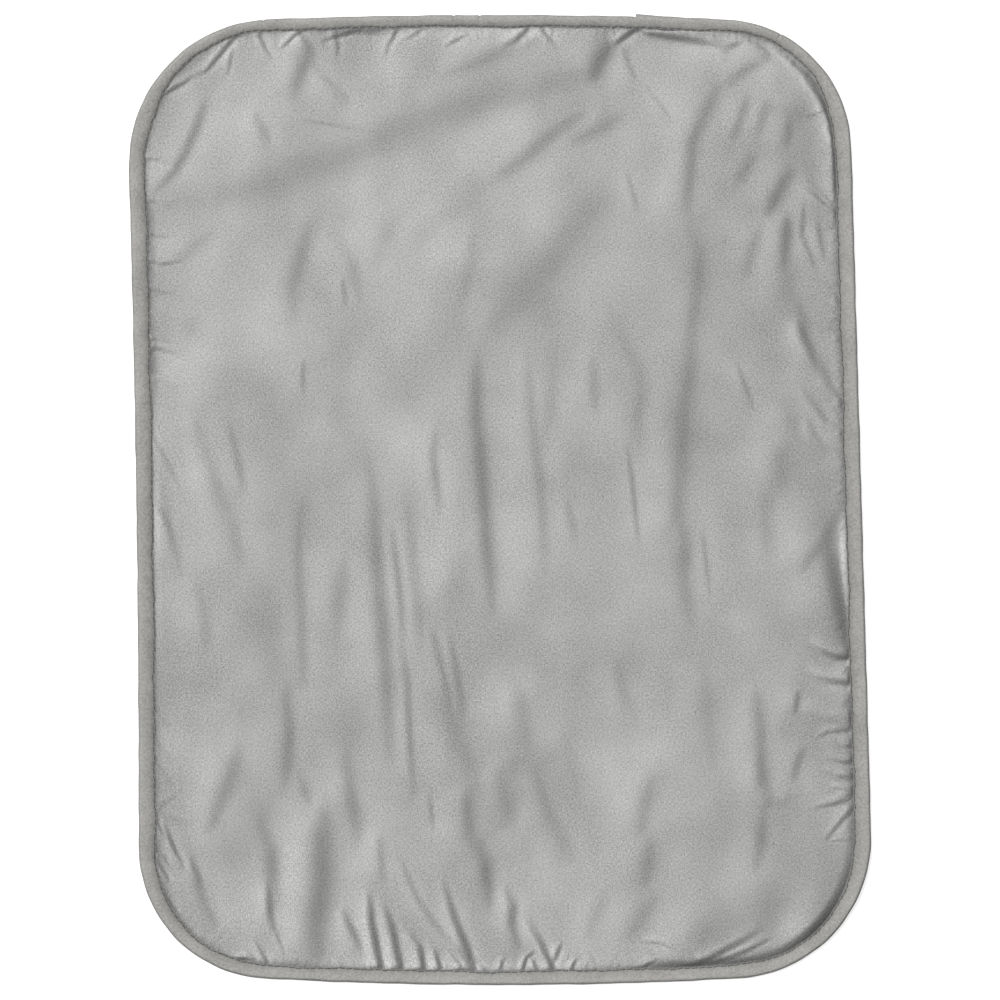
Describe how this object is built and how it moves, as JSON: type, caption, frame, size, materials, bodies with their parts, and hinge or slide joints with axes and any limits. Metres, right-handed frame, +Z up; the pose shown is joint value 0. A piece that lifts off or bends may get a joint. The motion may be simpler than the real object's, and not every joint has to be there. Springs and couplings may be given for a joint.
{
  "type": "ironing pad",
  "caption": "Flat padded ironing mat: silver metallised cotton over fibre wadding, rounded corners, edge bound with folded tape and one row of lockstitch.",
  "frame": {"origin": "middle of the pad's outer box, on the table it lies on", "axes": "+Z up out of the silver ironing face, +Y towards the head edge, where the tape's lap is, +X to the right"},
  "size_m": [0.5356, 0.6996, 0.0081],
  "materials": {
    "silver_cotton": "satin, metallised",
    "fibre_wadding": "matte, fibrous",
    "backing_cotton": "matte, plain weave",
    "binding_tape": "matte, felted weave",
    "sewing_thread": "matte, twisted"
  },
  "bodies": {
    "root": {"top_cover": "silver_cotton", "wadding": "fibre_wadding", "backing_cloth": "backing_cotton", "edge_binding": "binding_tape", "needle_thread": "sewing_thread", "bobbin_thread": "sewing_thread"}
  },
  "joints": []
}
